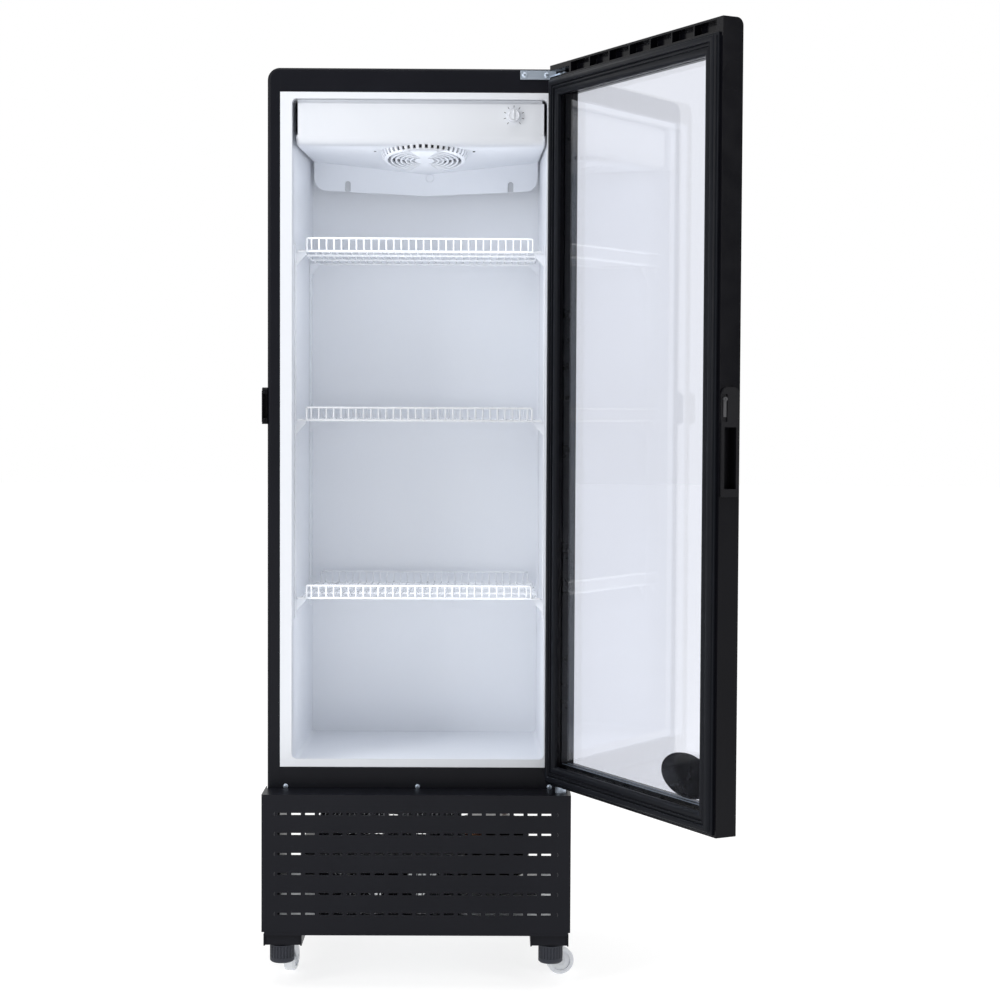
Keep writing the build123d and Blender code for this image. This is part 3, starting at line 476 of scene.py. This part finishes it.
# ---------------------------------------------------------------- shelves
FRONT_BAR_HALF = 252.0
DECK_ABOVE_FRAME = 5.5
FENCE_INSET = 13.0
FENCE_ROD = 2.0
MOUTH_HALF, BACK_HALF, CAVITY_DEPTH = 260.0, 254.0, 450.0
STANDARD_PLACES = (60.0, 372.0)
STANDARD_HALF_WIDTH = 8.0


def make_shelves():
    """Welded wire shelves with bent-up ends on the deck wires."""
    wire, rod = 1.6, 2.5
    pitch, count = 15.4, 30
    half, front, rear, fence = 246.0, 40.0, 428.0, 23.0
    for name in ("shelf_top", "shelf_middle", "shelf_lower"):
        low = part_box(name)[0]
        deck = low.z / MM + DECK_ABOVE_FRAME
        parts = []
        for k in range(count):
            x = pitch * (k - (count - 1) / 2)
            route = [(x, front, deck + fence), (x, front, deck), (x, rear, deck), (x, rear, deck + fence)]
            parts.append(tube(round_corners(route, 6), wire))
        for y in (front + 6, 170, 300, rear - 6):
            reach = FRONT_BAR_HALF if y == front + 6 else half - rod
            route = [Vector((-reach, y, deck - 3)), Vector((reach, y, deck - 3))]
            parts.append(tube(route, rod, 10))
        corners = [(half - rod, front + 12), (half - rod, rear - 12)]
        for side in (-1, 1):
            route = [Vector((side * x, y, deck - 3)) for x, y in corners]
            parts.append(tube(route, rod, 10))
        for y in (front, rear):
            inward = y + (6 if y == front else -6)
            end, tip, top = half - FENCE_INSET, half - FENCE_INSET - 7, deck + fence
            route = [(-tip, inward, top), (-end, y, top), (end, y, top), (tip, inward, top)]
            parts.append(tube(round_corners(route, 3), FENCE_ROD))
            for side in (-1, 1):
                post = [Vector((side * end, y, top)), Vector((side * end, y, deck - 3))]
                parts.append(tube(post, FENCE_ROD))
        verts, faces = join(parts)
        add_piece(name + "_wires", verts, faces, "white_wire", "cabinet", (name,))


def make_standard_slot_shade():
    """Grey sheets behind the slots of the four shelf standards: painted shade that makes the holes read dark."""
    low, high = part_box("shelf_standards")
    slot_shade_sheets = []
    for y in STANDARD_PLACES:
        x = MOUTH_HALF + (BACK_HALF - MOUTH_HALF) * (y + STANDARD_HALF_WIDTH) / CAVITY_DEPTH - 1.0
        for side in (-1, 1):
            ends = sorted((side * (x - 0.5), side * x))
            # A grey sheet standing in for the shade seen through each slot: painted shade.
            slot_shade_sheets.append(slab((ends[0], y - 5, low.z / MM + 4), (ends[1], y + 5, high.z / MM - 4)))
    verts, faces = join(slot_shade_sheets)
    add_piece("standard_slot_painted_shade", verts, faces, "caster_grey", "cabinet")


# ---------------------------------------------------------------- door seal and dial
def make_gasket():
    """Magnetic bellows seal: base, two folded ribs and a magnet bulb."""
    section = [(0, -13), (0, -9.5), (1.2, -8.6), (4.6, -8.2), (5.2, -6.4), (5.0, -3.4), (6.2, -1.4),
               (9, -0.55), (14.5, -0.5), (15.6, -1.6), (16.0, -5.6), (18.4, -5.8), (18.8, -2.8),
               (20.4, -2.2), (22, -2.8), (22.4, -6.4), (25.0, -6.8), (25.5, -4.6), (28, -3.6), (33, -4.4),
               (36.2, -7), (37, -10), (37, -13)]
    verts, faces = picture_frame(301, 420, 1846, section)
    add_piece("door_seal", verts, faces, "gasket_rubber", "door", ("door_gasket",), door=True, sharp=50)


def make_dial():
    """Fluted thermostat knob with a pointer, and the raised marks round it."""
    low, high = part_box("thermostat_knob")
    centre = Vector(((low.x + high.x) / 2, 0, (low.z + high.z) / 2)) / MM
    face = 8.0

    def flutes(angle):
        return 0.28 * cos(24 * angle)

    profile = [(2, 0.6), (12.2, 0.6), (12.6, 1.4), (12.0, 12.6), (11.2, 13.8), (9.6, 14.1), (8.8, 13.3),
               (2, 13.3)]
    body = lathe(profile, (centre.x, face, centre.z), (0, -1, 0), 96, flutes)
    pointer = slab((centre.x - 1.4, face - 15.2, centre.z - 8.5),
                   (centre.x + 1.4, face - 12.8, centre.z + 11))
    verts, faces = join([body, pointer])
    add_piece("thermostat_knob_fluted", verts, faces, "white_plastic", "thermostat_knob_body",
              ("thermostat_knob",))
    ticks = []
    tick_faces = [(0, 1, 2, 3), (7, 6, 5, 4), (0, 4, 5, 1), (1, 5, 6, 2), (2, 6, 7, 3), (3, 7, 4, 0)]
    for k in range(9):
        angle = radians(-140 + 35 * k)
        radial = Vector((sin(angle), 0, cos(angle)))
        side = Vector((cos(angle), 0, -sin(angle)))
        middle = Vector((centre.x, face, centre.z))
        corners = [middle + radial * r + side * s + Vector((0, d, 0))
                   for d in (-0.35, 0.2) for r, s in ((17, -0.55), (17, 0.55), (21.5, 0.55), (21.5, -0.55))]
        ticks.append((corners, tick_faces))
    verts, faces = join(ticks)
    add_piece("thermostat_marks", verts, faces, "dark_plastic", "cabinet")


# ---------------------------------------------------------------- evaporator cover
COVER_HALF, COVER_REAR, COVER_TOP = 250.0, 388.0, 1803.0
COVER_LEFT, COVER_RIGHT = -252.0, 256.5
COVER_T = 3.0
FAN_CENTRE = Vector(joints["evaporator_fan_spin"]["pos_m"]) / MM
FAN_AXIS = Vector(joints["evaporator_fan_spin"]["axis"]).normalized()
GRILLE_CENTRE = FAN_CENTRE + Vector((0, 3.5, 0))
COVER_TAPER = 0.00005
FAN_HOLE_R = 86
KEYHOLE_X, KEYHOLE_Z, KEYHOLE_R = (-171.5, 190.0), 1680, 6
MARK_X = (-96, 110)
RIM_SLOTS = 44
ARC_RADII = (24, 34, 44, 54, 64, 74)
ARC_REACH, ARC_HALF_WIDTH, ARC_STEPS = 68, 3.0, 18


def extruded(outline, axis, start, end):
    """Closed prism: outline points are pairs in the plane across the axis (0 = X, 1 = Y)."""
    def place(pair, along):
        return Vector((along, pair[0], pair[1])) if axis == 0 else Vector((pair[0], along, pair[1]))

    count = len(outline)
    verts = [place(pair, start) for pair in outline] + [place(pair, end) for pair in outline]
    faces = [tuple(range(count)), tuple(range(2 * count - 1, count - 1, -1))]
    faces += [(k, k + count, (k + 1) % count + count, (k + 1) % count) for k in range(count)]
    return verts, faces


def carve(piece, cutters):
    """Cut solid shapes out of a piece."""
    for verts, faces in cutters:
        mesh = bpy.data.meshes.new("cutter")
        mesh.from_pydata([Vector(v) * MM for v in verts], [], faces)
        work = bmesh.new()
        work.from_mesh(mesh)
        bmesh.ops.recalc_face_normals(work, faces=work.faces)
        work.to_mesh(mesh)
        work.free()
        cutter = bpy.data.objects.new("cutter", mesh)
        bpy.context.scene.collection.objects.link(cutter)
        modifier = piece.modifiers.new("cut", "BOOLEAN")
        modifier.object = cutter
        modifier.solver = "EXACT"
        bpy.context.view_layer.update()
        result = bpy.data.meshes.new_from_object(piece.evaluated_get(bpy.context.evaluated_depsgraph_get()))
        piece.modifiers.clear()
        piece.data = result
        bpy.data.objects.remove(cutter)


def rear_edge(x):
    """Height of the housing's rear lower edge, which falls to a drain point in the middle."""
    return 1728.0 - 27.0 * (1 - abs(x) / COVER_HALF)


def tapered(point):
    """Narrow the housing towards the rear, as the moulded cavity does."""
    return Vector((point.x * (1 - COVER_TAPER * point.y), point.y, point.z))


def apron_corner(half):
    """Upper corner and rounded lower corner of one side of the apron."""
    points = [(half, rear_edge(half) + 1)]
    for k in range(7):
        angle = pi * 0.5 * k / 6
        points.append((half - 28 * (1 - cos(angle)), 1692 - 28 * sin(angle)))
    return points


def make_cover():
    """Housing with a floor that falls to the middle of its rear edge, and the apron under it."""
    stations = [COVER_LEFT + (COVER_RIGHT - COVER_LEFT) * k / 20 for k in range(21)]
    verts, faces = [], []
    for x in stations:
        rear = rear_edge(x)
        outside = [(8, COVER_TOP), (8, 1738), (9, 1731), (13, 1724.5), (19, 1720.5), (27, 1719),
                   (COVER_REAR, rear), (COVER_REAR, COVER_TOP)]
        inside = [(COVER_REAR - COVER_T, COVER_TOP), (COVER_REAR - COVER_T, rear + COVER_T), (28, 1722),
                  (20.5, 1723.4), (15.5, 1726.8), (12, 1732), (11, 1739), (11, COVER_TOP)]
        section = outside + inside
        verts += [tapered(Vector((x, y, z))) for y, z in section]
    count = len(section)
    for k in range(len(stations) - 1):
        for s in range(count):
            a, b = k * count + s, k * count + (s + 1) % count
            faces.append((a, b, b + count, a + count))
    last = (len(stations) - 1) * count
    faces += [tuple(reversed(range(count))), tuple(range(last, last + count))]
    plates = [extruded(outside, 0, x, x + COVER_T) for x in (COVER_LEFT, COVER_RIGHT - COVER_T)]
    floor = add_piece("evaporator_cover_shell", verts, faces, "white_plastic", "cabinet",
                      ("evaporator_cover",))
    fan_hole = lathe([(FAN_HOLE_R, -60), (FAN_HOLE_R, 40)], GRILLE_CENTRE, FAN_AXIS, 96)
    dial_hole = lathe([(4.5, -8), (4.5, 16)], (192, 8, 1778.5), (0, 1, 0), 24)
    carve(floor, [fan_hole, dial_hole])
    verts, faces = join(plates)
    narrowed = [tapered(Vector(v)) for v in verts]
    add_piece("evaporator_cover_ends", narrowed, faces, "white_plastic", "cabinet")
    right = apron_corner(250.5)
    left = [(-x, z) for x, z in reversed(apron_corner(246.5))]
    outline = right + [(0, 1653.1)] + left + [(0, rear_edge(0) + 1)]
    verts, faces = extruded(outline, 1, COVER_REAR - COVER_T, COVER_REAR)
    apron = add_piece("evaporator_apron", verts, faces, "white_plastic", "cabinet")
    for x in KEYHOLE_X:
        round_end = lathe([(KEYHOLE_R, -10), (KEYHOLE_R, 10)], (x, COVER_REAR, KEYHOLE_Z), (0, 1, 0), 24)
        shank = slab((x - KEYHOLE_R, COVER_REAR - 10, 1640), (x + KEYHOLE_R, COVER_REAR + 10, KEYHOLE_Z))
        carve(apron, [round_end, shank])
        # Grey sheet behind each keyhole: the grey metal seen through the slot, with its shade painted into the
        # colour.
        verts, faces = slab((x - 11, COVER_REAR + 1, 1664), (x + 11, COVER_REAR + 2.5, 1690))
        add_piece(f"keyhole_shade_sheet_{'left' if x < 0 else 'right'}", verts, faces, "caster_grey", "cabinet")
    verts, faces = slab((-COVER_HALF, 15, 1798), (COVER_HALF, 17, 1810.6))
    add_piece("evaporator_top_strip", verts, faces, "white_liner", "cabinet")
    cap = [(9, 0), (9, 1.6), (7.6, 2.8), (2, 3.0)]
    verts, faces = lathe(cap, (10.3, COVER_REAR - COVER_T, 1693), (0, -1, 0), 32)
    add_piece("drain_cap", verts, faces, "white_plastic", "cabinet")
    marks = [slab((x - 2.5, 100, 1716.0), (x + 2.5, 101.6, 1718.4)) for x in MARK_X]
    verts, faces = join(marks)
    add_piece("grille_index_marks", verts, faces, "dark_plastic", "cabinet")


def make_grille():
    """Domed fan grille: a slotted rim round a disc with long curved slots on both sides."""
    profile = [(0.5, -16), (78, -16), (84, -14.6), (88, -10), (91, 0), (91, 7), (87, 7), (87, 1), (82, -10.5),
               (0.5, -13)]
    verts, faces = lathe(profile, GRILLE_CENTRE, FAN_AXIS, 160)
    grille = add_piece("fan_grille_dome", verts, faces, "white_plastic", "cabinet",
                       ("evaporator_fan_grille",))
    side = Vector((1, 0, 0))
    rear = FAN_AXIS.cross(side)
    slots = []
    for k in range(RIM_SLOTS):
        angle = 2 * pi * (k + 0.5) / RIM_SLOTS
        out = side * cos(angle) + rear * sin(angle)
        along = rear * cos(angle) - side * sin(angle)
        corners = [GRILLE_CENTRE + out * r + along * w + FAN_AXIS * h
                   for r in (79.6, 95) for w in (-2.9, 2.9) for h in (-13.2, 2.0)]
        slots.append((corners, BOX_FACES))
    for radius in ARC_RADII:
        for sign in (-1, 1):
            verts, faces, steps = [], [], ARC_STEPS
            for k in range(steps + 1):
                angle = radians(-ARC_REACH + 2 * ARC_REACH * k / steps)
                out = side * sign * cos(angle) + rear * sin(angle)
                for r in (radius - ARC_HALF_WIDTH, radius + ARC_HALF_WIDTH):
                    for h in (-22, -8):
                        verts.append(GRILLE_CENTRE + out * r + FAN_AXIS * h)
            for k in range(steps):
                a = 4 * k
                for p, q in ((0, 1), (1, 3), (3, 2), (2, 0)):
                    faces.append((a + p, a + q, a + q + 4, a + p + 4))
            faces += [(0, 2, 3, 1), (4 * steps, 4 * steps + 1, 4 * steps + 3, 4 * steps + 2)]
            slots.append((verts, faces))
    carve(grille, [join(slots)])


# ---------------------------------------------------------------- small hardware
def make_screws():
    """Domed cross-head screws of the hinge, the front rail and the base panel, whose cross recesses are black
    slabs of painted shade.
    """
    heads, recess_shade_slabs = [], []
    hinge = [((x, -3, 1859.5), (0, -1, 0), 5.5, 2.0) for x in (213.5, 258)]
    rail = [((x, 0, 401.5), (0, -1, 0), 5.2, 2.8) for x in (-272, 0, 272)]
    panel = [((side * 314, -20, z), (side, 0, 0), 4.5, 2.0) for side in (-1, 1) for z in (169, 289)]
    for place, axis, radius, height in hinge + rail + panel:
        heads.append(lathe([(radius, 0), (radius, height * 0.2), (radius * 0.8, height * 0.6),
                            (radius * 0.45, height * 0.92), (0.6, height)], place, axis, 24))
        direction = Vector(axis)
        tip = Vector(place) + direction * (height * 0.9)
        across = Vector((1, 0, 0)) if abs(direction.y) > 0.5 else Vector((0, 1, 0))
        # Black cross slabs on the head: painted shade standing in for the recess.
        for first, second in ((across, Vector((0, 0, 1))), (Vector((0, 0, 1)), across)):
            reach, width, deep = radius * 0.42, 0.45, height * 0.1
            a = tip - first * reach - second * width - direction * deep
            b = tip + first * reach + second * width + direction * deep * 0.9
            low = Vector((min(a.x, b.x), min(a.y, b.y), min(a.z, b.z)))
            high = Vector((max(a.x, b.x), max(a.y, b.y), max(a.z, b.z)))
            recess_shade_slabs.append(slab(low, high))
    verts, faces = join(heads)
    add_piece("screw_heads", verts, faces, "zinc", "cabinet", ("screws",))
    verts, faces = join(recess_shade_slabs)
    add_piece("screw_recess_painted_shade", verts, faces, "black_plastic", "cabinet")


def make_panel_marks():
    """Press marks beside the base panel's slot rows, raised and coloured lighter than the panel as a painted
    highlight on their relief; the panel's lower strip; and the channels' front webs.
    """
    first_row, row_pitch, panel_face = 359.0, 40.85, -78.35
    marks = []
    for row in range(6):
        z = first_row - row_pitch * row
        for side in (-1, 1):
            bend = ((286.5, 3.5), (288.5, 0), (287.2, -4))
            route = [(side * x, panel_face, z + rise) for x, rise in bend]
            marks.append(tube(round_corners(route, 1.5), 0.5, 6))
    # The press marks' lighter colour is a painted highlight on their raised relief.
    verts, faces = join(marks)
    add_piece("panel_press_marks_highlight", verts, faces, "dark_plastic", "cabinet")
    verts, faces = slab((-308.5, -77.3, 110.3), (308.5, -76.1, 117.3))
    add_piece("panel_lower_strip", verts, faces, "black_steel", "cabinet")
    webs = [slab((side * 272 - 36, -63, 87), (side * 272 + 36, -61, 109.5)) for side in (-1, 1)]
    verts, faces = join(webs)
    add_piece("channel_cross_webs", verts, faces, "black_steel", "cabinet")


def make_spacer_dots():
    """Breather holes along the visible faces of the spacer bars, and the two lips of the lower bar, coloured
    bright zinc as a painted highlight where light catches that upward-facing bar.
    """
    pitch, half, proud, near, far = 8, 0.7, 0.15, -33.5, -32.1
    dots = []
    for k in range(166):
        z = 470 + pitch * k
        for side in (-1, 1):
            x = side * 263.4
            dots.append(slab((x - proud, near, z - half), (x + proud, far, z + half)))
    for k in range(64):
        x = -252 + pitch * k
        for z in (462.6, 1814.4):
            dots.append(slab((x - half, near, z - proud), (x + half, far, z + proud)))
    verts, faces = join(dots)
    add_piece("spacer_breather_holes", verts, faces, "dark_plastic", "door", door=True)
    # Bright lips on the lower bar only: painted highlight.
    highlight_lips = [slab((-262.5, v - 0.5, 462.5), (262.5, v + 0.5, 463.9)) for v in (-38.9, -26.6)]
    verts, faces = join(highlight_lips)
    add_piece("spacer_lower_lips_painted_highlight", verts, faces, "zinc", "door", door=True)


def make_lock():
    """Copy of the lock's CAD mesh coloured dark, shown in its place."""
    node = frame["nodes"]["lock_cylinder"]
    cam = bpy.data.objects.new("lock_cam", node.data.copy())
    cam.data.materials.clear()
    cam.data.materials.append(SLOT_MATERIALS["dark_plastic"])
    cam.matrix_world = node.matrix_world.copy()
    bpy.context.scene.collection.objects.link(cam)
    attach(cam, "lock")
    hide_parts("lock_cylinder")


# ---------------------------------------------------------------- stage
def make_camera():
    """Camera about 1.2 m above the floor in front, looking very slightly down."""
    yaw, pitch, roll = -0.0066, -0.0423, 0.0049
    forward = Vector((-sin(yaw) * cos(pitch), cos(yaw) * cos(pitch), sin(pitch)))
    right = Vector((cos(yaw), sin(yaw), 0))
    up = right.cross(forward)
    rolled_right = right * cos(roll) + up * sin(roll)
    rolled_up = up * cos(roll) - right * sin(roll)
    data = bpy.data.cameras.new("camera")
    data.sensor_width = 36.0
    data.lens = 75.125
    camera = bpy.data.objects.new("camera", data)
    axes = Matrix((rolled_right, rolled_up, -forward)).transposed()
    camera.matrix_world = Matrix.Translation((0.139, -4.2795, 1.1756)) @ axes.to_4x4()
    bpy.context.scene.collection.objects.link(camera)
    bpy.context.scene.camera = camera


def area_light(name, place, target, size, power, tint=(1, 1, 1)):
    """Soft rectangular light aimed at a point."""
    data = bpy.data.lights.new(name, "AREA")
    data.shape = "RECTANGLE"
    data.size, data.size_y = size
    data.energy = power
    data.color = tint
    light = bpy.data.objects.new(name, data)
    light.location = place
    light.rotation_euler = (Vector(target) - Vector(place)).to_track_quat("-Z", "Y").to_euler()
    light.visible_camera = light.visible_transmission = False
    bpy.context.scene.collection.objects.link(light)
    return light


def make_world():
    """Surroundings plain white to the camera, which light the scene less from the front than from behind."""
    world = bpy.data.worlds.new("studio")
    bpy.context.scene.world = world
    world.use_nodes = True
    nodes, links = world.node_tree.nodes, world.node_tree.links
    background = nodes["Background"]
    coords = nodes.new("ShaderNodeTexCoord")
    split = nodes.new("ShaderNodeSeparateXYZ")
    links.new(coords.outputs["Generated"], split.inputs["Vector"])
    fade = nodes.new("ShaderNodeMapRange")
    fade.interpolation_type = "SMOOTHSTEP"
    fade.inputs["From Min"].default_value = -0.75
    fade.inputs["From Max"].default_value = 0.35
    fade.inputs["To Min"].default_value = 0.16
    fade.inputs["To Max"].default_value = 1.0
    links.new(split.outputs["Y"], fade.inputs["Value"])
    path = nodes.new("ShaderNodeLightPath")
    strength = nodes.new("ShaderNodeMath")
    strength.operation = "MAXIMUM"
    links.new(path.outputs["Is Camera Ray"], strength.inputs[0])
    links.new(fade.outputs["Result"], strength.inputs[1])
    background.inputs["Color"].default_value = (1.0, 1.0, 1.0, 1.0)
    links.new(strength.outputs["Value"], background.inputs["Strength"])


def make_stage():
    """Pale floor and soft lights."""
    floor_mesh = bpy.data.meshes.new("floor")
    work = bmesh.new()
    bmesh.ops.create_circle(work, cap_ends=True, segments=96, radius=30.0)
    work.to_mesh(floor_mesh)
    work.free()
    floor = bpy.data.objects.new("floor", floor_mesh)
    bpy.context.scene.collection.objects.link(floor)
    paper = Shader("floor_paper", roughness=0.9)
    paper.colour(paper.mix(paper.ramp(paper.noise(1.5, 3), 0, 1), (0.38, 0.38, 0.38), (0.40, 0.40, 0.40)))
    paper.bump(paper.noise(300, 3), 0.1, 0.0002)
    paper.shader.inputs["Emission Color"].default_value = (1, 1, 1, 1)
    paper.shader.inputs["Emission Strength"].default_value = 0.72
    floor_mesh.materials.append(paper.material)
    area_light("key_left", (-2.9, -2.9, 2.6), (0, 0.1, 1.1), (1.5, 2.0), 62)
    area_light("fill_right", (3.0, -3.0, 2.0), (0.1, 0, 1.0), (1.5, 2.2), 46)
    area_light("top", (0.0, -0.6, 4.2), (0, 0, 0.6), (3.0, 2.0), 40)
    for name, height, power in (("cavity_fill_high", 1.50, 0.44), ("cavity_fill_low", 0.70, 0.40)):
        place, target = (0.0, 0.03, height), (0, 1, height)
        mouth = area_light(name, place, target, (0.46, 0.42), power, (0.93, 0.96, 1.0))
        mouth.visible_glossy = False
    area_light("fill_low", (-0.3, -2.6, 0.35), (0, 0, 0.6), (1.6, 0.6), 3.5)
    bpy.context.scene.view_settings.view_transform = "Standard"


dress_cad_nodes()
make_camera()
make_world()
make_stage()
make_shelves()
make_gasket()
make_dial()
make_cover()
make_grille()
make_screws()
make_panel_marks()
make_spacer_dots()
make_standard_slot_shade()
make_lock()
